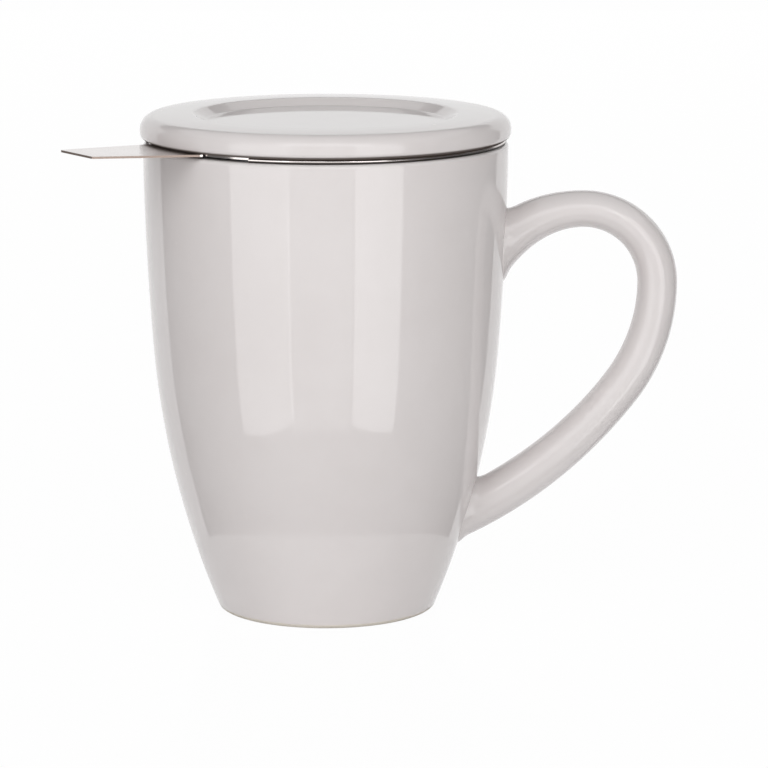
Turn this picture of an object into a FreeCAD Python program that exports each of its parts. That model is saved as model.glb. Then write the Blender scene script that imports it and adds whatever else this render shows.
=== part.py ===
# Lidded tea mug with a lift-out infuser: millimetres, +Z up.
# The origin is the centre of the standing face on the mug's axis. The handle lies along +X,
# and the infuser's tab points to the front left, between -X and -Y.
import FreeCAD, Part
import Sketcher
import math
import os

Vector = FreeCAD.Vector

doc = FreeCAD.newDocument("tea_mug_with_infuser")
sheet = doc.addObject("Spreadsheet::Sheet", "sizes")

# Driving dimensions: name, value, what it is. Lengths in mm, angles in degrees.
DRIVING = [
    ("mug_height", 111.3, "standing face to the top of the lip"),
    ("rim_radius", 42.85, "outer radius at the lip"),
    ("foot_radius", 25.5, "outer radius where the side meets the standing face"),
    ("belly_height", 63.5, "height where the lower curve of the side runs into the upper one"),
    ("lower_curve", 203.7, "radius of the side's lower curve"),
    ("upper_curve", 711.0, "radius of the side's upper curve"),
    ("wall", 3.8, "thickness of the mug's side"),
    ("mug_floor", 4.5, "thickness of the mug's floor"),
    ("floor_round", 9.0, "inside rounding between floor and side"),
    ("lip_round", 1.0, "rounding of the lip's two edges"),
    ("foot_round", 1.8, "rounding under the side, outside the foot ring"),
    ("foot_ring", 4.2, "width of the foot ring, with its rounding"),
    ("foot_recess", 1.8, "depth of the recess inside the foot ring"),
    ("recess_round", 0.8, "rounding of the foot ring's inner edges"),
    ("handle_reach", 35.25, "rim to the handle's centre line, at its furthest point"),
    ("handle_level", 77.9, "height of that furthest point"),
    ("bend_radius", 17.5, "centre line's bend from crest to furthest point"),
    ("root_radius", 26.5, "centre line's bend from the crest down to the upper root"),
    ("side_radius", 41.7, "centre line's bend below the furthest point"),
    ("sweep_radius", 101.3, "centre line's long sweep to the lower root"),
    ("root_angle", 50.0, "turn from the crest to the upper root"),
    ("side_angle", 37.4, "turn of the bend below the furthest point"),
    ("sweep_angle", 36.0, "turn of the long sweep"),
    ("root_run", 8.0, "straight run of the upper root inside the wall's line"),
    ("root_depth", 10.8, "handle's thickness in its own plane at the upper root"),
    ("crest_depth", 8.6, "the same at the crest"),
    ("side_depth", 9.4, "the same at the furthest point"),
    ("sweep_depth", 9.8, "the same where the long sweep starts"),
    ("lower_depth", 11.3, "the same at the lower root"),
    ("root_width", 14.0, "handle's width across its plane at the upper root"),
    ("grip_width", 11.6, "the same from the crest to the long sweep"),
    ("lower_width", 13.0, "the same at the lower root"),
    ("steel", 0.5, "thickness of the infuser's sheet steel"),
    ("basket_gap", 5.05, "clearance between the mug's wall and the basket, at the lip"),
    ("basket_lift", 41.6, "mug's floor to the basket's bottom"),
    ("flange_inset", 0.45, "how far the flange's edge stays inside the lip's"),
    ("bead", 1.1, "height of the flange's rolled edge"),
    ("bead_gap", 65.0, "angle at the tab where the edge isn't rolled"),
    ("collar_depth", 5.0, "height of the collar below the flange's top"),
    ("collar_round", 0.8, "bend of the sheet between flange and collar"),
    ("tab_turn", 34.0, "tab's direction, turned from -X to the front"),
    ("tab_length", 24.8, "flange edge to the tab's end"),
    ("tab_end", 14.6, "width of the tab's end"),
    ("tab_taper", 9.0, "angle of each side of the tab to its middle line"),
    ("tab_rise", 2.2, "angle at which the tab climbs"),
    ("tab_lap", 1.6, "how far the tab's sheet runs back into the flange"),
    ("tab_corner", 0.8, "rounding of the tab's end corners"),
    ("tray_height", 3.5, "upturned edge of the basket's floor"),
    ("tray_round", 1.0, "bend between the basket's floor and its upturned edge"),
    ("hole", 2.6, "diameter of the basket's holes"),
    ("hole_rows", 8, "rows of holes round the basket's wall"),
    ("hole_columns", 28, "holes in each row"),
    ("bare_top", 3.6, "flange to the first row's centres"),
    ("bare_bottom", 7.0, "basket's bottom edge to the last row's centres"),
    ("floor_pitch", 6.6, "distance between the rings of holes in the floor"),
    ("floor_rings", 4, "rings of holes in the basket's floor"),
    ("lid_overhang", 0.65, "how far the lid reaches out past the lip"),
    ("lid_height", 5.7, "seat to the inner edge of the lid's raised rim"),
    ("lid_fall", 0.3, "how much lower the raised rim lies at the lid's edge"),
    ("lid_round", 3.3, "rounding of the lid's upper edge"),
    ("lid_under", 1.4, "rounding of the lid's lower edge"),
    ("crest_width", 12.5, "width of the lid's raised rim"),
    ("dish_slope", 3.0, "width of the slope from the raised rim to the dish's floor"),
    ("dish_depth", 1.7, "depth of the dish"),
    ("dish_round", 1.8, "rounding between the raised rim and the dish's slope"),
    ("dish_corner", 1.4, "hollow rounding between the slope and the dish's floor"),
    ("ring_depth", 5.0, "depth of the locating ring under the lid"),
    ("ring_wall", 3.0, "thickness of the locating ring"),
    ("ring_gap", 0.8, "clearance between the locating ring and the collar"),
    ("ring_round", 1.2, "rounding of the locating ring's lower edges"),
]

for row, (name, value, meaning) in enumerate(DRIVING, start=1):
    sheet.set(f"A{row}", name)
    sheet.set(f"B{row}", str(value))
    sheet.setAlias(f"B{row}", name)
    sheet.set(f"C{row}", meaning)
doc.recompute()


class Dim:
    """A size that holds its number and the formula on the sheet that gives it."""

    def __init__(self, number, formula):
        self.number = float(number)
        self.formula = formula

    @staticmethod
    def of(value):
        return value if isinstance(value, Dim) else Dim(value, str(value))

    def __add__(self, other):
        other = Dim.of(other)
        return Dim(self.number + other.number, f"({self.formula} + {other.formula})")

    def __sub__(self, other):
        other = Dim.of(other)
        return Dim(self.number - other.number, f"({self.formula} - {other.formula})")

    def __mul__(self, other):
        other = Dim.of(other)
        return Dim(self.number * other.number, f"({self.formula} * {other.formula})")

    def __truediv__(self, other):
        other = Dim.of(other)
        return Dim(self.number / other.number, f"({self.formula} / {other.formula})")

    def __radd__(self, other):
        return Dim.of(other) + self

    def __rsub__(self, other):
        return Dim.of(other) - self

    def __rmul__(self, other):
        return Dim.of(other) * self

    def __neg__(self):
        return Dim(-self.number, f"(0 - {self.formula})")


def size(name):
    return Dim(sheet.get(name), f"sizes.{name}")


def sine(angle):
    return Dim(math.sin(math.radians(angle.number)), f"sin({angle.formula})")


def cosine(angle):
    return Dim(math.cos(math.radians(angle.number)), f"cos({angle.formula})")


def tangent(angle):
    return Dim(math.tan(math.radians(angle.number)), f"tan({angle.formula})")


def new_body(name):
    body = doc.addObject("PartDesign::Body", name)
    body.Label = name
    return body


def new_sketch(body, name, role="XZ_Plane"):
    sketch = body.newObject("Sketcher::SketchObject", name)
    base = next(item for item in body.Origin.OriginFeatures if item.Role == role)
    sketch.AttachmentSupport = [(base, "")]
    sketch.MapMode = "FlatFace"
    return sketch


def bind(sketch, kind, *references, value):
    """Add a measured constraint and drive it from the sheet."""
    value = Dim.of(value)
    index = sketch.addConstraint(Sketcher.Constraint(kind, *references, value.number))
    sketch.setExpression(f"Constraints[{index}]", value.formula)


def pin(sketch, edge, end, x, y):
    """Hold one end of an edge at the place x, y of the sketch."""
    for kind, axis, value in (("DistanceX", -2, Dim.of(x)), ("DistanceY", -1, Dim.of(y))):
        if value.number == 0:
            sketch.addConstraint(Sketcher.Constraint("PointOnObject", edge, end, axis))
        elif value.number > 0:
            bind(sketch, kind, -1, 1, edge, end, value=value)
        else:
            bind(sketch, kind, edge, end, -1, 1, value=-value)


def draw(sketch, corners):
    """Join the corners by straight edges into a closed outline."""
    points = [Vector(Dim.of(x).number, Dim.of(y).number, 0) for x, y in corners]
    count = len(points)
    for edge in range(count):
        sketch.addGeometry(Part.LineSegment(points[edge], points[(edge + 1) % count]))
    for edge in range(count):
        sketch.addConstraint(Sketcher.Constraint("Coincident", edge, 2, (edge + 1) % count, 1))
        pin(sketch, edge, 1, *corners[edge])


def revolve(body, sketch, name, kind="PartDesign::Revolution", angle=None):
    """Turn a sketch about the vertical axis, all the way or evenly to both sides of its plane."""
    turned = body.newObject(kind, name)
    turned.Profile = sketch
    turned.ReferenceAxis = (sketch, ["V_Axis"])
    turned.Angle = 360
    if angle is not None:
        turned.Midplane = True
        turned.setExpression("Angle", angle.formula)
    doc.recompute()
    return turned


def round_rings(body, name, radius, rings):
    """Round the circular edges that lie on the given (radius, height) rings about the axis."""
    before = body.Tip
    chosen = []
    for number, edge in enumerate(before.Shape.Edges, start=1):
        if not isinstance(edge.Curve, Part.Circle):
            continue
        for ring_radius, height in rings:
            same_radius = abs(edge.Curve.Radius - Dim.of(ring_radius).number) < 0.01
            same_height = abs(edge.Curve.Center.z - Dim.of(height).number) < 0.01
            if same_radius and same_height:
                chosen.append(f"Edge{number}")
    fillet = body.newObject("PartDesign::Fillet", name)
    fillet.Base = (before, chosen)
    fillet.setExpression("Radius", radius.formula)
    doc.recompute()
    return fillet


def lift(piece, height, turn=None):
    """Place a piece at its height in the assembly, turned about the axis if it points somewhere."""
    piece.setExpression("Placement.Base.z", height.formula)
    if turn is not None:
        piece.setExpression("Placement.Rotation.Angle", turn.formula)
        piece.Placement.Rotation.Axis = Vector(0, 0, 1)


mug_height = size("mug_height")
rim_radius = size("rim_radius")
foot_radius = size("foot_radius")
belly_height = size("belly_height")
lower_curve = size("lower_curve")
upper_curve = size("upper_curve")
wall = size("wall")
foot_recess = size("foot_recess")
steel = size("steel")
mug_floor = size("mug_floor")
bead = size("bead")
ring_depth = size("ring_depth")
collar_depth = size("collar_depth")
tab_turn = size("tab_turn")

# Heights and radii that several pieces share.
seat_height = mug_height + bead
basket_bottom = foot_recess + mug_floor + size("basket_lift")
basket_depth = seat_height - steel - basket_bottom
basket_radius = rim_radius - wall - size("basket_gap")
collar_inside = basket_radius - 2 * steel
flange_radius = rim_radius - size("flange_inset")


def side_curves():
    """Centres of the side's two curves and the point where they meet.

    The side leans outward where the curves meet. The lean is the one that takes the lower
    curve to the foot and the upper curve to the rim.
    """
    low, high = lower_curve.number, upper_curve.number
    height, belly = mug_height.number, belly_height.number

    def spread(lean):
        drop = belly + low * math.sin(lean)
        climb = height - belly - high * math.sin(lean)
        lower = math.sqrt(low * low - drop * drop) - low * math.cos(lean)
        upper = math.sqrt(high * high - climb * climb) - high * math.cos(lean)
        return upper - lower

    least, most = -0.3, 0.6
    for step in range(60):
        lean = (least + most) / 2
        if spread(lean) < rim_radius.number - foot_radius.number:
            least = lean
        else:
            most = lean
    drop = belly + low * math.sin(lean)
    lower_x = foot_radius.number - math.sqrt(low * low - drop * drop)
    join = Vector(lower_x + low * math.cos(lean), belly, 0)
    inward = Vector(-math.cos(lean), math.sin(lean), 0)
    return join + inward * low, join + inward * high, join


def curve(centre, radius, first, last):
    angles = [math.asin((height - centre.y) / radius) for height in (first, last)]
    return Part.ArcOfCircle(Part.Circle(centre, Vector(0, 0, 1), radius), *angles)


def draw_side(sketch, first):
    """Draw the outside of the mug's side as edges first and first + 1, from foot to rim."""
    low_centre, high_centre, join = side_curves()
    sketch.addGeometry(curve(low_centre, lower_curve.number, 0, join.y))
    sketch.addGeometry(curve(high_centre, upper_curve.number, join.y, mug_height.number))
    sketch.addConstraint(Sketcher.Constraint("Tangent", first, 2, first + 1, 1))
    pin(sketch, first, 1, foot_radius, 0)
    pin(sketch, first + 1, 2, rim_radius, mug_height)
    bind(sketch, "DistanceY", -1, 1, first, 2, value=belly_height)
    bind(sketch, "Radius", first, value=lower_curve)
    bind(sketch, "Radius", first + 1, value=upper_curve)


def mug_shell():
    """The cast mug: one turned section with an even wall and a foot ring."""
    body = new_body("mug_body")
    section = new_sketch(body, "mug_section")
    low_centre, high_centre, join = side_curves()
    low_inside = lower_curve - wall
    high_inside = upper_curve - wall
    floor_top = foot_recess + mug_floor
    ring_inside = foot_radius - size("foot_ring")

    def reach(centre, radius, height):
        offset = height - centre.y
        return Vector(centre.x + math.sqrt(radius * radius - offset * offset), height, 0)

    inside_join = join + (low_centre - join).normalize() * wall.number
    lip_outside = Vector(rim_radius.number, mug_height.number, 0)
    lip_inside = reach(high_centre, high_inside.number, mug_height.number)
    floor_edge = reach(low_centre, low_inside.number, floor_top.number)
    floor_middle = Vector(0, floor_top.number, 0)
    recess_middle = Vector(0, foot_recess.number, 0)
    recess_edge = Vector(ring_inside.number, foot_recess.number, 0)
    ring_edge = Vector(ring_inside.number, 0, 0)
    foot_edge = Vector(foot_radius.number, 0, 0)

    draw_side(section, 0)
    lip = section.addGeometry(Part.LineSegment(lip_outside, lip_inside))
    upper_inside = section.addGeometry(
        curve(high_centre, high_inside.number, inside_join.y, mug_height.number))
    lower_inside = section.addGeometry(
        curve(low_centre, low_inside.number, floor_edge.y, inside_join.y))
    floor = section.addGeometry(Part.LineSegment(floor_edge, floor_middle))
    middle = section.addGeometry(Part.LineSegment(floor_middle, recess_middle))
    recess = section.addGeometry(Part.LineSegment(recess_middle, recess_edge))
    ring = section.addGeometry(Part.LineSegment(recess_edge, ring_edge))
    stand = section.addGeometry(Part.LineSegment(ring_edge, foot_edge))

    def join_ends(edge, end, other, other_end):
        section.addConstraint(Sketcher.Constraint("Coincident", edge, end, other, other_end))

    join_ends(1, 2, lip, 1)
    join_ends(lip, 2, upper_inside, 2)
    section.addConstraint(Sketcher.Constraint("Tangent", lower_inside, 2, upper_inside, 1))
    join_ends(lower_inside, 1, floor, 1)
    for edge, following in ((floor, middle), (middle, recess), (recess, ring), (ring, stand)):
        join_ends(edge, 2, following, 1)
    join_ends(stand, 2, 0, 1)
    join_ends(lower_inside, 3, 0, 3)
    join_ends(upper_inside, 3, 1, 3)
    section.addConstraint(Sketcher.Constraint("Horizontal", lip))
    section.addConstraint(Sketcher.Constraint("Horizontal", floor))
    bind(section, "Radius", lower_inside, value=low_inside)
    pin(section, middle, 1, 0, floor_top)
    pin(section, recess, 1, 0, foot_recess)
    pin(section, ring, 1, ring_inside, foot_recess)
    pin(section, stand, 1, ring_inside, 0)

    revolve(body, section, "mug_turned")
    round_rings(body, "mug_floor_round", size("floor_round"), [(floor_edge.x, floor_top)])
    round_rings(body, "mug_lip_round", size("lip_round"),
                [(rim_radius, mug_height), (lip_inside.x, mug_height)])
    round_rings(body, "mug_foot_round", size("foot_round"), [(foot_radius, 0)])
    round_rings(body, "mug_recess_round", size("recess_round"),
                [(ring_inside, 0), (ring_inside, foot_recess)])
    return body


def mug_handle():
    """The handle: an oval bar along tangent arcs, cut to the mug's side at both roots."""
    furthest = (rim_radius + size("handle_reach")).number
    level = size("handle_level").number
    bend = size("bend_radius").number
    grip_width = size("grip_width").number
    root_width = size("root_width").number
    root_depth = size("root_depth").number
    root_run = size("root_run").number
    oval_spacing = 4.5
    across = Vector(0, 1, 0)

    # The path runs down from the crest to the lower root and back from the crest to the upper one.
    # Each arc: radius, turn in degrees, then depth and width of the bar at its far end.
    crest = Vector(furthest - bend, 0, level + bend)
    down = [
        (bend, 90, size("side_depth").number, grip_width),
        (size("side_radius").number, size("side_angle").number, size("sweep_depth").number, grip_width),
        (size("sweep_radius").number, size("sweep_angle").number, size("lower_depth").number,
         size("lower_width").number),
    ]
    back = [(size("root_radius").number, size("root_angle").number, root_depth, root_width)]

    def oval(place, ahead, depth, width):
        outward = across.cross(ahead)
        matrix = FreeCAD.Matrix(
            outward.x * depth / 2, 0, ahead.x, place.x,
            0, width / 2, 0, place.y,
            outward.z * depth / 2, 0, ahead.z, place.z,
            0, 0, 0, 1)
        return Part.Wire(Part.makeCircle(1).transformGeometry(matrix))

    def follow(arcs, side):
        """Ovals along the arcs from the crest; side is +1 towards the reach, -1 towards the mug."""
        ovals = []
        place = Vector(crest)
        angle = 0.0
        depth, width = size("crest_depth").number, grip_width
        ahead = Vector(side, 0, 0)
        for radius, turn, far_depth, far_width in arcs:
            centre = place - across.cross(ahead) * (-side * radius)
            steps = round(math.radians(turn) * radius / oval_spacing)
            for step in range(1, steps + 1):
                share = step / steps
                now = math.radians(angle + turn * share)
                ahead = Vector(side * math.cos(now), 0, -math.sin(now))
                place = centre + across.cross(ahead) * (-side * radius)
                ovals.append(oval(
                    place, ahead * side,
                    depth + (far_depth - depth) * share, width + (far_width - width) * share))
            angle += turn
            depth, width = far_depth, far_width
        return ovals, place, ahead

    lower_ovals, lower_end, lower_ahead = follow(down, 1)
    upper_ovals, root_top, root_ahead = follow(back, -1)
    crest_oval = oval(crest, Vector(1, 0, 0), size("crest_depth").number, grip_width)
    run_ovals = [
        oval(root_top + root_ahead * (root_run * share), -root_ahead, root_depth, root_width)
        for share in (1.0, 0.5)]
    bar = doc.addObject("Part::Feature", "handle_bar")
    ovals = run_ovals + upper_ovals[::-1] + [crest_oval] + lower_ovals
    bar.Shape = Part.makeLoft(ovals, True, False)

    envelope = new_body("side_envelope")
    inside = new_sketch(envelope, "inside_of_side")
    draw_side(inside, 0)
    corners = [(rim_radius, mug_height), (0, mug_height), (0, 0), (foot_radius, 0)]
    points = [Vector(Dim.of(x).number, Dim.of(y).number, 0) for x, y in corners]
    for start, end in zip(points, points[1:]):
        inside.addGeometry(Part.LineSegment(start, end))
    for edge, following in ((1, 2), (2, 3), (3, 4), (4, 0)):
        inside.addConstraint(Sketcher.Constraint("Coincident", edge, 2, following, 1))
    pin(inside, 3, 1, *corners[1])
    pin(inside, 4, 1, *corners[2])
    revolve(envelope, inside, "filled_side")

    trimmed = doc.addObject("Part::Cut", "mug_handle")
    trimmed.Label = "mug_handle"
    trimmed.Base = bar
    trimmed.Tool = envelope
    doc.recompute()
    return trimmed


def lid():
    """The cast lid: a dished plate with a raised rim and a locating ring beneath."""
    body = new_body("lid")
    section = new_sketch(body, "lid_section")
    lid_radius = rim_radius + size("lid_overhang")
    crest_radius = lid_radius - size("crest_width")
    dish_radius = crest_radius - size("dish_slope")
    ring_outside = collar_inside - size("ring_gap")
    ring_inside = ring_outside - size("ring_wall")
    crest = ring_depth + size("lid_height")
    edge_top = crest - size("lid_fall")
    dish = crest - size("dish_depth")
    draw(section, [
        (0, ring_depth), (ring_inside, ring_depth), (ring_inside, 0), (ring_outside, 0),
        (ring_outside, ring_depth), (lid_radius, ring_depth), (lid_radius, edge_top),
        (crest_radius, crest), (dish_radius, dish), (0, dish)])
    revolve(body, section, "lid_plate")
    round_rings(body, "lid_edge_round", size("lid_round"), [(lid_radius, edge_top)])
    round_rings(body, "lid_under_round", size("lid_under"), [(lid_radius, ring_depth)])
    round_rings(body, "lid_rim_round", size("dish_round"), [(crest_radius, crest)])
    round_rings(body, "lid_dish_corner", size("dish_corner"), [(dish_radius, dish)])
    round_rings(body, "lid_ring_round", size("ring_round"), [(ring_inside, 0), (ring_outside, 0)])
    lift(body, seat_height - ring_depth)
    return body


def infuser_rim():
    """The infuser's rim: flange, collar, rolled edge and tab in one pressed sheet.

    Its own frame has the flange's top at collar_depth and the tab along -X.
    """
    body = new_body("infuser_rim")
    collar_outside = basket_radius - steel
    bead_centre = flange_radius - bead / 2
    top = collar_depth
    under = top - steel
    section = new_sketch(body, "flange_section")
    draw(section, [
        (collar_inside, 0), (collar_outside, 0), (collar_outside, under),
        (bead_centre, under), (bead_centre, top), (collar_inside, top)])
    revolve(body, section, "flange")
    round_rings(body, "collar_bend", size("collar_round"), [(collar_inside, top)])

    roll = new_sketch(body, "bead_section")
    roll.addGeometry(Part.Circle(
        Vector(bead_centre.number, (top - bead / 2).number, 0), Vector(0, 0, 1), bead.number / 2))
    pin(roll, 0, 3, bead_centre, top - bead / 2)
    bind(roll, "Radius", 0, value=bead / 2)
    revolve(body, roll, "rolled_edge", angle=360 - size("bead_gap"))

    taper, half_end = size("tab_taper"), size("tab_end") / 2
    tab_length, tab_lap = size("tab_length"), size("tab_lap")
    half_root = half_end + (tab_length + tab_lap) * tangent(taper)
    outline = new_sketch(body, "tab_outline", "XY_Plane")
    outline.AttachmentOffset = FreeCAD.Placement(
        Vector(-flange_radius.number, 0, top.number),
        FreeCAD.Rotation(Vector(0, 1, 0), size("tab_rise").number))
    outline.setExpression("AttachmentOffset.Base.x", (-flange_radius).formula)
    outline.setExpression("AttachmentOffset.Base.z", top.formula)
    outline.setExpression("AttachmentOffset.Rotation.Angle", size("tab_rise").formula)
    draw(outline, [
        (tab_lap, half_root), (-tab_length, half_end),
        (-tab_length, -half_end), (tab_lap, -half_root)])
    blade = body.newObject("PartDesign::Pad", "tab_blade")
    blade.Profile = outline
    blade.Reversed = True
    blade.setExpression("Length", steel.formula)
    doc.recompute()

    end_corners = []
    for number, edge in enumerate(blade.Shape.Edges, start=1):
        middle = edge.CenterOfMass
        past_flange = -middle.x > flange_radius.number + tab_length.number / 2
        if past_flange and edge.Length < 2 * steel.number:
            end_corners.append(f"Edge{number}")
    corners = body.newObject("PartDesign::Fillet", "tab_corners")
    corners.Base = (blade, end_corners)
    corners.setExpression("Radius", size("tab_corner").formula)
    doc.recompute()
    lift(body, seat_height - collar_depth, tab_turn)
    return body


def infuser_wall():
    """The basket's wall: a sleeve of perforated sheet, its holes in staggered rows."""
    sleeve = doc.addObject("Part::Cut", "plain_sleeve")
    outside = doc.addObject("Part::Cylinder", "sleeve_outside")
    bore = doc.addObject("Part::Cylinder", "sleeve_bore")
    for tube, radius in ((outside, basket_radius), (bore, basket_radius - steel)):
        tube.setExpression("Radius", radius.formula)
        tube.setExpression("Height", basket_depth.formula)
    sleeve.Base = outside
    sleeve.Tool = bore

    rows, columns = int(size("hole_rows").number), int(size("hole_columns").number)
    first = size("bare_bottom").number
    last = basket_depth.number - size("bare_top").number
    start = basket_radius.number - 3 * steel.number
    drills = []
    for row in range(rows):
        height = first + (last - first) * row / (rows - 1)
        for column in range(columns):
            angle = 2 * math.pi * (column + 0.25 + 0.5 * (row % 2)) / columns
            outward = Vector(math.cos(angle), math.sin(angle), 0)
            place = outward * start + Vector(0, 0, height)
            drills.append(Part.makeCylinder(size("hole").number / 2, 4 * steel.number, place, outward))
    tool = doc.addObject("Part::Feature", "wall_drills")
    tool.Shape = Part.makeCompound(drills)

    pierced = doc.addObject("Part::Cut", "infuser_wall")
    pierced.Label = "infuser_wall"
    pierced.Base = sleeve
    pierced.Tool = tool
    lift(pierced, basket_bottom, tab_turn)
    return pierced


def infuser_floor():
    """The basket's floor: a shallow perforated tray pressed into the foot of the wall."""
    body = new_body("infuser_floor")
    section = new_sketch(body, "tray_section")
    edge = basket_radius - steel
    tray_height = size("tray_height")
    draw(section, [
        (0, 0), (edge, 0), (edge, tray_height), (edge - steel, tray_height),
        (edge - steel, steel), (0, steel)])
    revolve(body, section, "tray")
    tray_round = size("tray_round")
    round_rings(body, "tray_bend_outside", tray_round, [(edge, 0)])
    round_rings(body, "tray_bend_inside", tray_round - steel, [(edge - steel, steel)])

    holes = new_sketch(body, "floor_holes", "XY_Plane")
    radius = size("hole") / 2
    pitch = size("floor_pitch")
    holes.addGeometry(Part.Circle(Vector(0, 0, 0), Vector(0, 0, 1), radius.number))
    holes.addConstraint(Sketcher.Constraint("Coincident", 0, 3, -1, 1))
    bind(holes, "Radius", 0, value=radius)
    for ring in range(1, int(size("floor_rings").number) + 1):
        for step in range(6 * ring):
            angle = Dim.of(60 / ring * (step + 0.5))
            x = pitch * ring * cosine(angle)
            y = pitch * ring * sine(angle)
            number = holes.addGeometry(
                Part.Circle(Vector(x.number, y.number, 0), Vector(0, 0, 1), radius.number))
            bind(holes, "Radius", number, value=radius)
            pin(holes, number, 3, x, y)
    pierce = body.newObject("PartDesign::Pocket", "floor_pierced")
    pierce.Profile = holes
    pierce.Type = "ThroughAll"
    pierce.Reversed = True
    doc.recompute()
    lift(body, basket_bottom)
    return body


pieces = [mug_shell(), mug_handle(), lid(), infuser_rim(), infuser_wall(), infuser_floor()]
doc.recompute()

for item in doc.Objects:
    failed = [word for word in item.State if word in ("Invalid", "Error")]
    if failed:
        raise RuntimeError(f"{item.Label}: {failed}")

os.makedirs("parts", exist_ok=True)
for piece in pieces:
    shape = piece.Shape
    if shape.isNull() or not shape.isValid():
        raise RuntimeError(f"{piece.Label}: no valid shape")
    shape.exportStep(f"parts/{piece.Label}.step")
    box = shape.BoundBox
    print(f"{piece.Label}: {len(shape.Solids)} solid, {shape.Volume / 1000:.2f} cm3, "
          f"X {box.XMin:.2f} to {box.XMax:.2f}, Y {box.YMin:.2f} to {box.YMax:.2f}, "
          f"Z {box.ZMin:.2f} to {box.ZMax:.2f}")
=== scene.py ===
# %% [markdown]
# # A lidded tea mug with a lift-out infuser
# The mug is a cast and glazed pot with a luted handle. A basket of perforated steel hangs in it by
# a flange, and a loose glazed lid rests on that flange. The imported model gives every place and
# size, so this lesson only dresses it: smooth turned surfaces, a fine perforation, glaze and steel.

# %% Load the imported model
import bpy
import bmesh
import math
from mathutils import Matrix, Vector


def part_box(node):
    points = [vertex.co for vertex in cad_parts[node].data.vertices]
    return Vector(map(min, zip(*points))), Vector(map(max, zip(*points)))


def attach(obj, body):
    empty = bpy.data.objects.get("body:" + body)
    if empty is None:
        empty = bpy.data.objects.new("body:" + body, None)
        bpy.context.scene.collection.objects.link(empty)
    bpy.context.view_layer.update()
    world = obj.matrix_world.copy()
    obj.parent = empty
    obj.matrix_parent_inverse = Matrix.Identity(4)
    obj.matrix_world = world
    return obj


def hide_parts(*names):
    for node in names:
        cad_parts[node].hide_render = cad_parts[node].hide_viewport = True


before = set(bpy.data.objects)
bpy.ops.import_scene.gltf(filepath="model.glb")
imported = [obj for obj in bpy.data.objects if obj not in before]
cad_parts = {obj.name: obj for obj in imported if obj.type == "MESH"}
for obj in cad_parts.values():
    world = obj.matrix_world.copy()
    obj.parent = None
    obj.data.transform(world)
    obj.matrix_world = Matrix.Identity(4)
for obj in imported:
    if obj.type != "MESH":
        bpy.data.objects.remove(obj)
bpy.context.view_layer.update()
for node in sorted(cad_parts):
    low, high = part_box(node)
    print(node, [round(1000 * value, 1) for value in (*low, *high)])

# %% [markdown]
# ## Camera
# The photograph was taken with a long lens, a little above the mug, and is matched from about a
# metre away. A long lens keeps the side's upright lines nearly parallel, so the distance matters
# as much as the angle.

# %% Camera
LENS = 192.2
LENS_PLACE = (0.01367, -0.955, 0.2325)
LOOK_DOWN = 10.62
camera_data = bpy.data.cameras.new("camera")
camera_data.sensor_width = 36.0
camera_data.lens = LENS
camera_data.clip_end = 20.0
camera = bpy.data.objects.new("camera", camera_data)
camera.location = LENS_PLACE
camera.rotation_euler = (math.radians(90 - LOOK_DOWN), 0, 0)
bpy.context.collection.objects.link(camera)
bpy.context.scene.camera = camera
print("camera", tuple(camera.location), "lens", camera_data.lens)

# %% [markdown]
# ## Shader maths
# A glaze is a sum of small effects, so the node trees are written as expressions. `Wire` wraps one
# socket, and adding or multiplying wires adds the Math node that does it. `Tree` makes every other
# node, and reads a piece's own Object coordinates, so no pattern slides when the view changes.


# %% A small language for node trees
class Wire:
    """A socket of a node tree, with arithmetic that adds Math nodes."""

    def __init__(self, tree, socket):
        self.tree = tree
        self.socket = socket

    def math(self, operation, other=0.0):
        return self.tree.add("ShaderNodeMath", {"operation": operation}, {0: self, 1: other})

    def __add__(self, other):
        return self.math("ADD", other)

    def __sub__(self, other):
        return self.math("SUBTRACT", other)

    def __rsub__(self, other):
        return (self * -1.0) + other

    def __mul__(self, other):
        return self.math("MULTIPLY", other)

    __radd__ = __add__
    __rmul__ = __mul__

    def step(self, low, high):
        """0 below low, 1 above high, and smooth between them."""
        return self.tree.add(
            "ShaderNodeMapRange", {"interpolation_type": "SMOOTHSTEP"},
            {"Value": self, "From Min": low, "From Max": high})


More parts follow.
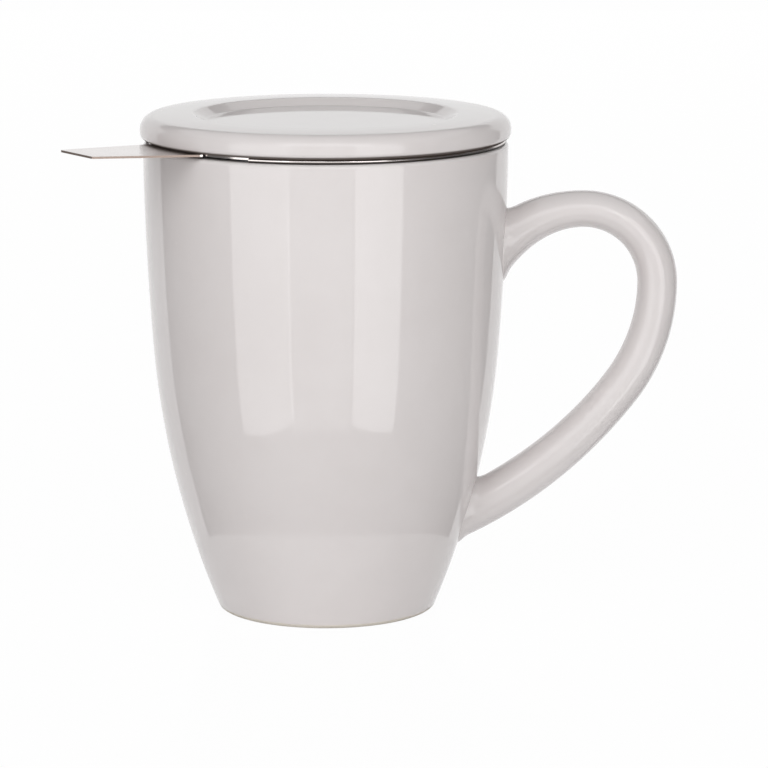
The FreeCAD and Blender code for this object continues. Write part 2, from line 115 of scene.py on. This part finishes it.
class Tree:
    """The node tree of one material."""

    def __init__(self, name):
        self.material = bpy.data.materials.new(name)
        self.material.use_nodes = True
        self.nodes = self.material.node_tree.nodes
        self.links = self.material.node_tree.links
        self.shader = self.nodes["Principled BSDF"]

    def set_input(self, node, key, value):
        if isinstance(value, Wire):
            self.links.new(value.socket, node.inputs[key])
        else:
            node.inputs[key].default_value = value

    def add(self, kind, settings=None, inputs=None, output=0):
        """One node: its settings first, then the values or wires of its sockets."""
        node = self.nodes.new(kind)
        for key, value in (settings or {}).items():
            setattr(node, key, value)
        for key, value in (inputs or {}).items():
            self.set_input(node, key, value)
        return Wire(self, node.outputs[output])

    def place(self):
        """Object coordinates."""
        return self.add("ShaderNodeTexCoord", output=3)

    def split(self, vector):
        node = self.nodes.new("ShaderNodeSeparateXYZ")
        self.links.new(vector.socket, node.inputs[0])
        return [Wire(self, output) for output in node.outputs]

    def join(self, x, y, z):
        return self.add("ShaderNodeCombineXYZ", None, {0: x, 1: y, 2: z})

    def noise(self, vector, scale, detail=2.0, roughness=0.5):
        return self.add(
            "ShaderNodeTexNoise", None,
            {"Vector": vector, "Scale": scale, "Detail": detail, "Roughness": roughness})

    def mix(self, factor, first, second):
        node = self.nodes.new("ShaderNodeMix")
        node.data_type = "RGBA"
        for key, value in (("Factor", factor), ("A", first), ("B", second)):
            sockets = [item for item in node.inputs if item.name == key and item.enabled]
            if isinstance(value, Wire):
                self.links.new(value.socket, sockets[0])
            else:
                sockets[0].default_value = value
        return Wire(self, [item for item in node.outputs if item.enabled][0])

    def bump(self, height, distance, strength=1.0):
        return self.add(
            "ShaderNodeBump", None, {"Height": height, "Distance": distance, "Strength": strength})

    def finish(self, **sockets):
        for key, value in sockets.items():
            self.set_input(self.shader, key.replace("_", " "), value)
        return self.material


# %% [markdown]
# ## The glaze
# A stoneware glaze is glass over a pale body. It gathers slightly where it ran and thins over the
# lip, its surface has a slow waviness, and a few pinholes stay from the firing. The clear glass is
# a coat over the coloured layer, and the coat alone gives the reflection. The standing edge stays
# bare clay. A dark, rough ring without coat under the lid's edge is painted shade in the colour.

# %% Glaze
PALE = (0.73, 0.69, 0.683, 1)
POOLED = (0.68, 0.637, 0.628, 1)
BARE = (0.74, 0.70, 0.64, 1)
CLAY_GRAIN = (0.66, 0.61, 0.54, 1)
THINNED = (0.79, 0.755, 0.745, 1)
# Painted shade: the near-black ring under the lid's outer edge.
PAINTED_SHADE_UNDER_LID = (0.13, 0.11, 0.10, 1)
GLASS_IOR = 1.52
MM = 0.001


def glaze(name, bare_below=None, thin_above=None, seat=None):
    """Warm light grey glaze; bare clay below one height, thinner glass above another.

    A seat given as (radius, height) is a dark ring of painted shade, with no coat, outside that
    radius and below that height.
    """
    tree = Tree(name)
    place = tree.place()
    x, y, height = tree.split(place)
    slow = tree.noise(place, 28.0, 3.0)
    cloud = tree.noise(place, 140.0, 4.0, 0.6)
    pooled = (slow * 0.7 + cloud * 0.3).step(0.35, 0.72)
    colour = tree.mix(pooled * 0.5, PALE, POOLED)
    if thin_above is not None:
        thin = height.step(thin_above, thin_above + 1.2 * MM)
        colour = tree.mix(thin * 0.5, colour, THINNED)
    pin = tree.add(
        "ShaderNodeTexVoronoi", {"feature": "F1"},
        {"Vector": place, "Scale": 190.0, "Randomness": 1.0})
    pinhole = 1.0 - pin.step(0.05, 0.10)
    rare = cloud.step(0.60, 0.66)
    pinhole = pinhole * rare
    wave = tree.noise(place, 55.0, 1.0) * 0.75 + tree.noise(place, 420.0, 2.0) * 0.05
    relief = wave - pinhole * 0.35
    roughness = 0.16 + cloud * 0.08
    coat = 1.0 - pinhole * 0.6
    if bare_below is not None:
        ragged = height + (tree.noise(place, 260.0, 3.0) - 0.5) * (0.5 * MM)
        bare = 1.0 - ragged.step(bare_below - 0.1 * MM, bare_below + 0.1 * MM)
        grain = tree.noise(place, 1500.0, 4.0, 0.7)
        clay = tree.mix(grain, BARE, CLAY_GRAIN)
        colour = tree.mix(bare, colour, clay)
        roughness = roughness + bare * 0.6
        coat = coat * (1.0 - bare)
        relief = relief + bare * grain * 0.6
    if seat is not None:
        seat_radius, seat_height = seat
        radius = (x * x + y * y).math("SQRT")
        # Painted shade: a dark ring under the lid's outer edge, painted into the colour.
        shade_under_lid = radius.step(seat_radius - 0.6 * MM, seat_radius) * (
            1.0 - height.step(seat_height - 0.5 * MM, seat_height))
        colour = tree.mix(shade_under_lid, colour, PAINTED_SHADE_UNDER_LID)
        roughness = roughness + shade_under_lid * 0.5
        coat = coat * (1.0 - shade_under_lid)
    tree.set_input(tree.shader, "Coat Roughness", 0.05)
    tree.set_input(tree.shader, "Specular IOR Level", 0.0)
    tree.set_input(tree.shader, "IOR", GLASS_IOR)
    return tree.finish(
        Base_Color=colour, Roughness=roughness, Coat_Weight=coat,
        Normal=tree.bump(relief, 0.10 * MM, 0.6))


mug_glaze = glaze("grey_glaze_on_mug", bare_below=1.1 * MM, thin_above=110.2 * MM)
handle_glaze = glaze("grey_glaze_on_handle")
lid_glaze = glaze("grey_glaze_on_lid", seat=(41.6 * MM, 113.3 * MM))
print("glazes", mug_glaze.name, handle_glaze.name, lid_glaze.name)

# %% [markdown]
# ## The steel
# The rim is pressed from polished sheet, and its turning marks run round the axis. Those marks are
# a noise read by distance from the axis and by height, stretched out along the turn. The basket's
# perforated sheet is duller, because punching and washing leave it satin.


# %% Steel
# Painted shade: brownish, for the sideways faces of the tab's cut edges.
CUT_EDGE_SHADE = (0.40, 0.32, 0.28, 1)
# Painted shade: near black for the narrow gap under the rolled edge.
CREVICE_SHADE = (0.07, 0.06, 0.055, 1)
MARKS = 0.02 * MM
LINES = 900.0


def steel(name, colour, shade, smooth, rough, seat=None):
    """Sheet steel with marks that run round the axis.

    A seat height is where the rolled edge stands on the lip. The narrow gap there is dull, with
    painted shade in its colour, and the tab's sideways cut edges are dull, with brownish painted
    shade.
    """
    tree = Tree(name)
    place = tree.place()
    x, y, z = tree.split(place)
    radius = (x * x + y * y).math("SQRT")
    turned = tree.join(radius * LINES, z * LINES, y.math("ARCTAN2", x) * 1.5)
    brushed = tree.noise(turned, 3.0, 3.0, 0.6)
    fine = tree.noise(turned, 11.0, 2.0, 0.5)
    handled = tree.noise(place, 45.0, 3.0).step(0.40, 0.75)
    worn = brushed * 0.6 + handled * 0.4
    tone = tree.mix(worn, colour, shade)
    roughness = smooth + worn * rough
    if seat is not None:
        # Painted shade: the narrow gap under the rolled edge is painted near black.
        crevice_shade = radius.step(41.2 * MM, 41.4 * MM) * (1.0 - z.step(seat, seat + 0.25 * MM))
        upward = tree.split(tree.add("ShaderNodeNewGeometry", output=1))[2].math("ABSOLUTE")
        # Painted shade: faces of the tab's cut edges that look sideways are painted darker and
        # brownish.
        cut_edge_shade = radius.step(42.8 * MM, 43.2 * MM) * (1.0 - upward.step(0.4, 0.7))
        tone = tree.mix(cut_edge_shade, tone, CUT_EDGE_SHADE)
        tone = tree.mix(crevice_shade, tone, CREVICE_SHADE)
        roughness = roughness + crevice_shade.math("MAXIMUM", cut_edge_shade) * 0.35
    tree.set_input(tree.shader, "Metallic", 1.0)
    return tree.finish(
        Base_Color=tone, Roughness=roughness,
        Normal=tree.bump(brushed * 0.6 + fine * 0.4, MARKS, 0.5))


rim_steel = steel(
    "polished_rim_steel", colour=(0.68, 0.635, 0.62, 1), shade=(0.55, 0.51, 0.495, 1),
    smooth=0.10, rough=0.16, seat=111.7 * MM)
sheet_steel = steel(
    "satin_sheet_steel", colour=(0.60, 0.59, 0.58, 1), shade=(0.46, 0.45, 0.44, 1),
    smooth=0.24, rough=0.20)
print("steels", rim_steel.name, sheet_steel.name)

# %% [markdown]
# ## Turned pieces
# Potters and press shops both make round things from a section. A section is drawn as a line of
# points with its corners rounded, and the Spin operator turns it about the axis. The turned skins
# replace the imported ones, because evenly spaced faces carry a glossy reflection without facets.


# %% Helpers for turned pieces
def clear_selection():
    if bpy.context.object and bpy.context.object.mode != "OBJECT":
        bpy.ops.object.mode_set(mode="OBJECT")
    bpy.ops.object.select_all(action="DESELECT")


def activate(piece):
    clear_selection()
    piece.select_set(True)
    bpy.context.view_layer.objects.active = piece


def rounded(corners, steps=8):
    """Points of an outline in mm; a corner with a third value is rounded to that radius."""
    points = []
    count = len(corners)
    for index, corner in enumerate(corners):
        here = Vector(corner[:2])
        if len(corner) < 3:
            points.append(here)
            continue
        before = (Vector(corners[(index - 1) % count][:2]) - here).normalized()
        after = (Vector(corners[(index + 1) % count][:2]) - here).normalized()
        half = before.angle(after) / 2
        reach = corner[2] / math.tan(half)
        centre = here + (before + after).normalized() * (corner[2] / math.sin(half))
        start = here + before * reach - centre
        end = here + after * reach - centre
        sweep = start.angle_signed(end)
        for step in range(steps + 1):
            turn = -sweep * step / steps
            points.append(centre + Matrix.Rotation(turn, 2) @ start)
    return points


def spin(name, outline, steps=192):
    """Turn an outline of (radius, height) in mm about the vertical axis."""
    mesh = bpy.data.meshes.new(name)
    points = [(x * MM, 0, z * MM) for x, z in outline]
    mesh.from_pydata(points, [(i, i + 1) for i in range(len(points) - 1)], [])
    piece = bpy.data.objects.new(name, mesh)
    bpy.context.collection.objects.link(piece)
    activate(piece)
    bpy.ops.object.mode_set(mode="EDIT")
    bpy.ops.mesh.select_all(action="SELECT")
    bpy.ops.mesh.spin(steps=steps, angle=2 * math.pi, center=(0, 0, 0), axis=(0, 0, 1))
    bpy.ops.mesh.select_all(action="SELECT")
    bpy.ops.mesh.remove_doubles(threshold=0.002 * MM)
    bpy.ops.mesh.normals_make_consistent(inside=False)
    bpy.ops.object.mode_set(mode="OBJECT")
    bpy.ops.object.shade_smooth_by_angle(angle=math.radians(40))
    return piece


def dress(piece, body, slot, material, *nodes):
    """Give a finished piece its material, its body and the nodes that it stands for."""
    piece.data.materials.clear()
    piece.data.materials.append(material)
    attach(piece, body)
    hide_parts(*nodes)
    size = [round(1000 * value, 1) for value in piece.dimensions]
    print(piece.name, len(piece.data.polygons), "faces", size)


# %% [markdown]
# ## The mug
# Two curves that run into each other give the side its taper: a tight one from the foot to the
# belly and a slack one up to the lip. The inside follows them at the wall's thickness.

# %% Mug
BELLY = 63.5
LOW_CURVE = (-162.283, 78.938, 203.7)
HIGH_CURVE = (-668.124, 117.386, 711.0)
WALL = 3.8
LIP = 111.3
LIP_ROUND = 1.0
FLOOR_TOP = 6.3
FLOOR_ROUND = 9.0
FOOT = 25.5
FOOT_ROUND = 1.8
RECESS = 21.3
RECESS_DEPTH = 1.8
RECESS_ROUND = 0.8


def side(height, inset=0.0):
    """Radius of the side at a height, or of the surface that lies inset deeper, in mm."""
    x, z, radius = LOW_CURVE if height < BELLY else HIGH_CURVE
    return x + math.sqrt((radius - inset) ** 2 - (height - z) ** 2)


def climb(first, last, count, inset=0.0):
    heights = [first + (last - first) * index / (count - 1) for index in range(count)]
    return [(side(height, inset), height) for height in heights]


mug_outline = rounded(
    [(0, RECESS_DEPTH), (RECESS, RECESS_DEPTH, RECESS_ROUND), (RECESS, 0, RECESS_ROUND)]
    + [(FOOT, 0, FOOT_ROUND)]
    + climb(4.0, 109.0, 43)
    + [(side(LIP), LIP, LIP_ROUND), (side(LIP, WALL), LIP, LIP_ROUND)]
    + climb(109.0, 18.0, 37, WALL)
    + [(side(FLOOR_TOP, WALL), FLOOR_TOP, FLOOR_ROUND), (14.0, FLOOR_TOP), (0, FLOOR_TOP)])
mug = spin("mug", mug_outline)
dress(mug, "mug", "glaze", mug_glaze, "mug_body")

# %% [markdown]
# ## The lid
# The lid is a thick plate with a raised rim round a shallow dish, and a ring underneath keeps it
# from sliding. The raised rim is a little lower at the outer edge. Heights in the section count
# from the ring's lower edge.

# %% Lid
LID_FOOT = 107.4
SEAT = 5.0
RING_INSIDE = 29.2
RING_OUTSIDE = 32.2
RING_ROUND = 1.2
LID_EDGE = 43.5
DISH = 9.0
lid_section = [
    (0, SEAT), (RING_INSIDE, SEAT), (RING_INSIDE, 0, RING_ROUND), (RING_OUTSIDE, 0, RING_ROUND),
    (RING_OUTSIDE, SEAT), (LID_EDGE, SEAT, 1.4), (LID_EDGE, 10.4, 3.3), (31.0, 10.7, 1.8),
    (28.0, DISH, 1.4), (26.0, DISH), (0, DISH)]
lid_outline = [(x, z + LID_FOOT) for x, z in rounded(lid_section)]
lid = spin("lid_skin", lid_outline)
dress(lid, "lid", "lid_glaze", lid_glaze, "lid")

# %% [markdown]
# ## The handle
# The handle is an oval bar bent along arcs that run into each other. A ring of points is extruded
# along the path, each new ring set to the bar's depth and width there. Near the mug the rings
# spread a little, as the slip that joins the handle does.

# %% Handle
CREST = Vector((60.6, 0, 95.4))
CREST_SIZE = (8.6, 11.6)
ACROSS = Vector((0, 1, 0))
GRIP_ARCS = [(17.5, 90, 9.4, 11.6), (41.7, 37.4, 9.8, 11.6), (101.3, 36.0, 11.3, 13.0)]
ROOT_ARCS = [(26.5, 50, 10.8, 14.0)]
SPACING = 0.9


def follow(side_sign, arcs):
    """Stations (place, direction, depth, width) along arcs of (radius, degrees, depth, width)."""
    place, angle = Vector(CREST), 0.0
    ahead = Vector((side_sign, 0, 0))
    depth, width = CREST_SIZE
    stations = []
    for radius, turn, far_depth, far_width in arcs:
        centre = place + ACROSS.cross(ahead) * (side_sign * radius)
        steps = round(radius * math.radians(turn) / SPACING)
        for step in range(1, steps + 1):
            share = step / steps
            now = math.radians(angle + turn * share)
            ahead = Vector((side_sign * math.cos(now), 0, -math.sin(now)))
            place = centre - ACROSS.cross(ahead) * (side_sign * radius)
            eased = share * share * (3 - 2 * share)
            stations.append((
                Vector(place), ahead * side_sign,
                depth + (far_depth - depth) * eased, width + (far_width - width) * eased))
        angle += turn
        depth, width = far_depth, far_width
    return stations


down = follow(1, GRIP_ARCS)
back = follow(-1, ROOT_ARCS)
root_place, root_ahead, *root_size = back[-1]
run = [
    (root_place - root_ahead * (SPACING * step), root_ahead, *root_size) for step in range(1, 10)]
path = (back + run)[::-1] + [(CREST, Vector((1, 0, 0)), *CREST_SIZE)] + down
print("handle stations", len(path))

# %% [markdown]
# ## The bar round that path
# Each ring is an oval across the path. The slip's spread is greatest at the mug's side and is gone
# a little over two millimetres away from it. The open ends are closed with faces, because only a
# closed bar can be cut.

# %% Handle bar
RING = 48
SLIP_SPREAD = 0.7
SLIP_REACH = 2.2


def ring_points(place, ahead, depth, width):
    outward = ACROSS.cross(ahead)
    points = []
    for index in range(RING):
        turn = 2 * math.pi * index / RING
        spoke = outward * (math.cos(turn) * depth / 2) + ACROSS * (math.sin(turn) * width / 2)
        point = place + spoke
        gap = math.hypot(point.x, point.y) - side(min(max(point.z, 0), LIP))
        spread = SLIP_SPREAD * max(0.0, 1 - max(gap, 0.0) / SLIP_REACH) ** 2
        points.append((point + spoke.normalized() * spread) * MM)
    return points


bpy.ops.object.select_all(action="DESELECT")
bpy.ops.mesh.primitive_circle_add(vertices=RING, radius=1, fill_type="NOTHING")
handle = bpy.context.object
handle.name = "handle_bar"
bpy.ops.object.mode_set(mode="EDIT")
bpy.ops.mesh.select_all(action="SELECT")
shape = bmesh.from_edit_mesh(handle.data)
ring = list(shape.verts)
for vertex, point in zip(ring, ring_points(*path[0])):
    vertex.co = point
bmesh.update_edit_mesh(handle.data)
for station in path[1:]:
    bpy.ops.mesh.extrude_edges_move()
    shape = bmesh.from_edit_mesh(handle.data)
    shape.verts.ensure_lookup_table()
    ring = [vertex for vertex in shape.verts if vertex.select]
    for vertex, point in zip(ring, ring_points(*station)):
        vertex.co = point
    bmesh.update_edit_mesh(handle.data)
bpy.ops.mesh.select_all(action="DESELECT")
bpy.ops.mesh.select_non_manifold()
bpy.ops.mesh.edge_face_add()
bpy.ops.mesh.select_all(action="SELECT")
bpy.ops.mesh.normals_make_consistent(inside=False)
bpy.ops.object.mode_set(mode="OBJECT")
print("handle rings", len(path), "vertices", len(handle.data.vertices))

# %% [markdown]
# ## The handle meets the mug
# A handle is trimmed to the pot's curve before it is stuck on. A filler shaped like the mug, half a
# millimetre smaller, is taken out of the bar with a Boolean, so the bar ends just under the side.

# %% Handle cut to the mug's side
UNDER = 0.5
filler_outline = [(0, -5), (side(0, UNDER), -5)] + climb(0.0, LIP, 60, UNDER) + [(0, LIP)]
filler = spin("filler", filler_outline)
activate(handle)
cut = handle.modifiers.new("cut", "BOOLEAN")
cut.object = filler
cut.operation = "DIFFERENCE"
cut.solver = "EXACT"
bpy.ops.object.modifier_apply(modifier="cut")
bpy.data.objects.remove(filler)
bpy.ops.object.shade_smooth_by_angle(angle=math.radians(50))
dress(handle, "mug", "handle_glaze", handle_glaze, "mug_handle")

# %% [markdown]
# ## Perforated sheet
# Punched sheet has holes in staggered rows. One six-sided cell with a hole is made by insetting a
# hexagon, and Array modifiers repeat it in rows. The pitch is chosen so that a whole number of
# cells goes round the basket, and the sheet gets its thickness from Solidify.

# %% Perforated sheet
SHEET_RADIUS = 33.75
COLUMNS = 112
HOLE = 0.60
PITCH = 2 * math.pi * SHEET_RADIUS / COLUMNS
SHEET = 0.44


def perforated(name, columns, rows):
    """A flat sheet of six-sided cells, PITCH apart, each with a hole."""
    clear_selection()
    bpy.ops.mesh.primitive_circle_add(
        vertices=6, radius=PITCH / math.sqrt(3) * MM, fill_type="NGON")
    sheet = bpy.context.object
    sheet.name = name
    bpy.ops.object.mode_set(mode="EDIT")
    bpy.ops.mesh.select_all(action="SELECT")
    bpy.ops.mesh.inset(thickness=(PITCH / 2 - HOLE * math.cos(math.pi / 6)) * MM)
    bpy.ops.mesh.delete(type="ONLY_FACE")
    bpy.ops.object.mode_set(mode="OBJECT")
    rise = PITCH * math.sqrt(3) / 2
    repeats = ((columns, (PITCH, 0)), (2, (PITCH / 2, rise)), (rows // 2, (0, 2 * rise)))
    for count, offset in repeats:
        array = sheet.modifiers.new("array", "ARRAY")
        array.use_relative_offset = False
        array.use_constant_offset = True
        array.constant_offset_displace = (offset[0] * MM, offset[1] * MM, 0)
        array.count = count
        array.use_merge_vertices = True
        array.merge_threshold = 0.01 * MM
        bpy.ops.object.modifier_apply(modifier="array")
    return sheet


def thicken(sheet):
    activate(sheet)
    bpy.ops.object.mode_set(mode="EDIT")
    bpy.ops.mesh.select_all(action="SELECT")
    bpy.ops.mesh.remove_doubles(threshold=0.01 * MM)
    bpy.ops.mesh.normals_make_consistent(inside=False)
    bpy.ops.object.mode_set(mode="OBJECT")
    solid = sheet.modifiers.new("solid", "SOLIDIFY")
    solid.thickness = SHEET * MM
    solid.offset = 0
    bpy.ops.object.modifier_apply(modifier="solid")


def merge(first, *others):
    """Join finished pieces into the first one."""
    activate(first)
    for other in others:
        other.select_set(True)
    bpy.ops.object.join()
    activate(first)
    bpy.ops.object.shade_smooth_by_angle(angle=math.radians(35))


# %% [markdown]
# ## Basket wall
# The flat sheet is rolled into a tube, each point's run along the sheet becoming an angle. Plain
# bands close it above and below, where the sheet is welded to the collar and to the floor.

# %% Basket wall
ROWS = 34
BASKET_BOTTOM = 47.9
BASKET_TOP = 111.9
FIRST_ROW = 53.9 * MM
ROLL = SHEET_RADIUS * MM
BAND_INSIDE = 33.5
BAND_OUTSIDE = 34.0
LOWER_BAND_TOP = 54.2
BAND_LAP = 1.2
BAND_STEPS = 224


def band(name, low, high):
    """A plain ring of sheet between two heights."""
    return spin(name, rounded([
        (BAND_INSIDE, low), (BAND_OUTSIDE, low), (BAND_OUTSIDE, high), (BAND_INSIDE, high),
        (BAND_INSIDE, low)]), BAND_STEPS)


basket = perforated("basket_wall", COLUMNS, ROWS)
for vertex in basket.data.vertices:
    turn = vertex.co.x / ROLL
    vertex.co = (ROLL * math.cos(turn), ROLL * math.sin(turn), FIRST_ROW + vertex.co.y)
thicken(basket)
top_row = max(vertex.co.z for vertex in basket.data.vertices) / MM
lower_band = band("lower_band", BASKET_BOTTOM, LOWER_BAND_TOP)
upper_band = band("upper_band", top_row - BAND_LAP, BASKET_TOP)
merge(basket, lower_band, upper_band)
dress(basket, "infuser", "wall_steel", sheet_steel, "infuser_wall")

# %% [markdown]
# ## Basket floor
# The floor is a pressed tray: flat perforated sheet inside a plain border that turns up into the
# wall. The sheet is made as a rectangle, and the cells outside the border are deleted.

# %% Basket floor
TRAY = BASKET_BOTTOM
TRAY_EDGE = TRAY + 3.5
TRAY_INSIDE = TRAY + 0.5
TRAY_BORE = 33.0
BORDER = 28.2
CELL_LIMIT = 29.4 * MM
disc = perforated("basket_floor", 34, 40)
middle = sum((vertex.co for vertex in disc.data.vertices), Vector()) / len(disc.data.vertices)
for vertex in disc.data.vertices:
    vertex.co = vertex.co - middle
activate(disc)
bpy.ops.object.mode_set(mode="EDIT")
bpy.ops.mesh.select_all(action="DESELECT")
shape = bmesh.from_edit_mesh(disc.data)
for face in shape.faces:
    face.select = face.calc_center_median().length > CELL_LIMIT
bmesh.update_edit_mesh(disc.data)
bpy.ops.mesh.delete(type="FACE")
bpy.ops.object.mode_set(mode="OBJECT")
for vertex in disc.data.vertices:
    vertex.co.z = (TRAY + 0.25) * MM
thicken(disc)
tray = spin("tray", rounded(
    [(BORDER, TRAY), (BAND_INSIDE, TRAY, 1.0), (BAND_INSIDE, TRAY_EDGE), (TRAY_BORE, TRAY_EDGE),
     (TRAY_BORE, TRAY_INSIDE, 0.5), (BORDER, TRAY_INSIDE), (BORDER, TRAY)]), BAND_STEPS)
merge(disc, tray)
dress(disc, "infuser", "floor_steel", sheet_steel, "infuser_floor")

# %% [markdown]
# ## The infuser's rim
# Flange, rolled edge and tab are pressed from one sheet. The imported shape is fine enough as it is,
# so it stays and gets the polished steel.

# %% Infuser rim
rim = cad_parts["infuser_rim"]
rim.data.materials.clear()
rim.data.materials.append(rim_steel)
smooth_faces = sum(face.use_smooth for face in rim.data.polygons)
print("rim smooth faces", smooth_faces, "of", len(rim.data.polygons))

# %% [markdown]
# ## The table
# The mug stands on a white table. The table's own surface is slightly glossy, and nearly all of the
# white that the lens sees is a plain glow given to camera rays alone. That keeps the light on the
# mug plain, but it leaves very little of the mug's shadow in the picture.

# %% White table
bpy.ops.object.select_all(action="DESELECT")
bpy.ops.mesh.primitive_plane_add(size=6.0, location=(0, 0, 0))
table = bpy.context.object
table.name = "table"
table.visible_glossy = False
TO_THE_LENS = 0.97
tree = Tree("white_table")
grain = tree.noise(tree.place(), 400.0, 3.0)
tree.set_input(tree.shader, "Base Color", (0.93, 0.93, 0.93, 1))
tree.set_input(tree.shader, "Roughness", 0.12 + grain * 0.04)
glow = tree.add("ShaderNodeEmission", None, {"Color": (1, 1, 1, 1), "Strength": 1.0})
seen = tree.add("ShaderNodeLightPath", output=0)
mixed = tree.add("ShaderNodeMixShader", None, {
    0: seen * TO_THE_LENS, 1: Wire(tree, tree.shader.outputs[0]), 2: glow})
tree.links.new(mixed.socket, tree.nodes["Material Output"].inputs["Surface"])
table.data.materials.append(tree.material)
print("table", tuple(table.dimensions))

# %% [markdown]
# ## White surroundings
# A white tent is white wherever it is seen, straight on or in steel, but it lights the mug much
# less than the lamps do. So the world has full strength for camera, glossy and transmission rays,
# and a weaker ambient strength for all others.

# %% White surroundings
AMBIENT = 0.30
world = bpy.data.worlds.new("white_tent")
bpy.context.scene.world = world
world.use_nodes = True
nodes, links = world.node_tree.nodes, world.node_tree.links
backdrop = nodes["Background"]
backdrop.inputs["Color"].default_value = (1, 1, 1, 1)
rays = nodes.new("ShaderNodeLightPath").outputs
pick = rays["Is Camera Ray"]
for ray in ("Is Glossy Ray", "Is Transmission Ray"):
    either = nodes.new("ShaderNodeMath")
    either.operation = "MAXIMUM"
    links.new(pick, either.inputs[0])
    links.new(rays[ray], either.inputs[1])
    pick = either.outputs[0]
level = nodes.new("ShaderNodeMapRange")
level.inputs["To Min"].default_value = AMBIENT
level.inputs["To Max"].default_value = 1.0
links.new(pick, level.inputs["Value"])
links.new(level.outputs[0], backdrop.inputs["Strength"])
print("world", world.name, "ambient", AMBIENT)

# %% [markdown]
# ## Soft boxes
# Two tall soft boxes stand in front, left and right of the lens, and leave the two bright bands in
# the glaze. A third hangs above and in front for the lid. A fourth fills the far side a little, and
# only as light, so that neither the lens nor the glaze shows it.


# %% Soft boxes
def soft_box(name, azimuth, distance, width, height, above, radiance):
    """A soft box at an azimuth from the front, positive to the right, facing the mug."""
    data = bpy.data.lights.new(name, "AREA")
    data.shape = "RECTANGLE"
    data.size = width
    data.size_y = height
    data.energy = radiance * math.pi * width * height
    lamp = bpy.data.objects.new(name, data)
    turn = math.radians(azimuth)
    lamp.location = (distance * math.sin(turn), -distance * math.cos(turn), above)
    lamp.rotation_euler = (math.radians(90), 0, turn)
    bpy.context.collection.objects.link(lamp)
    return lamp


soft_box("left_box", azimuth=-41.0, distance=1.2, width=0.84, height=1.5, above=0.20, radiance=1.8)
soft_box("right_box", azimuth=34.0, distance=1.2, width=0.66, height=1.5, above=0.20, radiance=2.25)
top = soft_box("top_box", azimuth=0.0, distance=1.1, width=1.4, height=0.9, above=1.1, radiance=1.6)
top.rotation_euler = (math.radians(45), 0, 0)
rear = soft_box(
    "rear_box", azimuth=180.0, distance=1.5, width=1.8, height=1.4, above=0.25, radiance=1.1)
rear.visible_camera = False
rear.visible_glossy = False
print("lamps", len(bpy.data.lights))

# %% [markdown]
# ## What the glaze mirrors
# A glossy pot shows the room that it was photographed in. Curved walls and flat discs stand in for
# that room: dark beside the soft boxes and above the backdrop, pale between them, overhead and
# round the foot. Only reflections see them, so they neither light the mug nor show in the picture.


# %% Walls and discs for reflections
WALL_STEPS = 24


def only_mirrored(piece, shade):
    """Hide a stage piece from every ray but reflections, and let it glow evenly."""
    for ray in ("camera", "diffuse", "shadow", "transmission"):
        setattr(piece, f"visible_{ray}", False)
    cloth = Tree(piece.name)
    cloth.finish(
        Base_Color=(0, 0, 0, 1), Roughness=1.0, Emission_Color=(shade, shade, shade, 1))
    cloth.set_input(cloth.shader, "Emission Strength", 1.0)
    piece.data.materials.append(cloth.material)


def mirrored_wall(name, first, last, radius, low, high, shade):
    """A curved wall between two azimuths from the front and two heights."""
    points, faces = [], []
    for index in range(WALL_STEPS + 1):
        turn = math.radians(first + (last - first) * index / WALL_STEPS)
        for z in (low, high):
            points.append((radius * math.sin(turn), -radius * math.cos(turn), z))
    for index in range(WALL_STEPS):
        faces.append((2 * index, 2 * index + 1, 2 * index + 3, 2 * index + 2))
    mesh = bpy.data.meshes.new(name)
    mesh.from_pydata(points, [], faces)
    wall = bpy.data.objects.new(name, mesh)
    bpy.context.collection.objects.link(wall)
    only_mirrored(wall, shade)


def mirrored_disc(name, radius, height, shade):
    """A flat disc about the mug's axis."""
    clear_selection()
    bpy.ops.mesh.primitive_circle_add(
        vertices=64, radius=radius, fill_type="NGON", location=(0, 0, height))
    disc = bpy.context.object
    disc.name = name
    only_mirrored(disc, shade)


mirrored_wall("room", first=-125, last=136, radius=1.6, low=-1.6, high=1.3, shade=0.15)
mirrored_wall("lit_middle", first=-23, last=18, radius=1.4, low=-0.66, high=0.9, shade=1.0)
mirrored_disc("ceiling", radius=1.6, height=1.3, shade=0.8)
mirrored_wall("above_backdrop", first=136, last=235, radius=1.6, low=0.85, high=1.3, shade=0.15)
mirrored_disc("table_near_foot", radius=0.06, height=-0.0005, shade=0.9)

# %% [markdown]
# ## Finish
# The picture uses the Standard view transform. The dressed model has to stay in the
# imported model's box.

# %% Standard view transform
bpy.context.scene.view_settings.view_transform = "Standard"
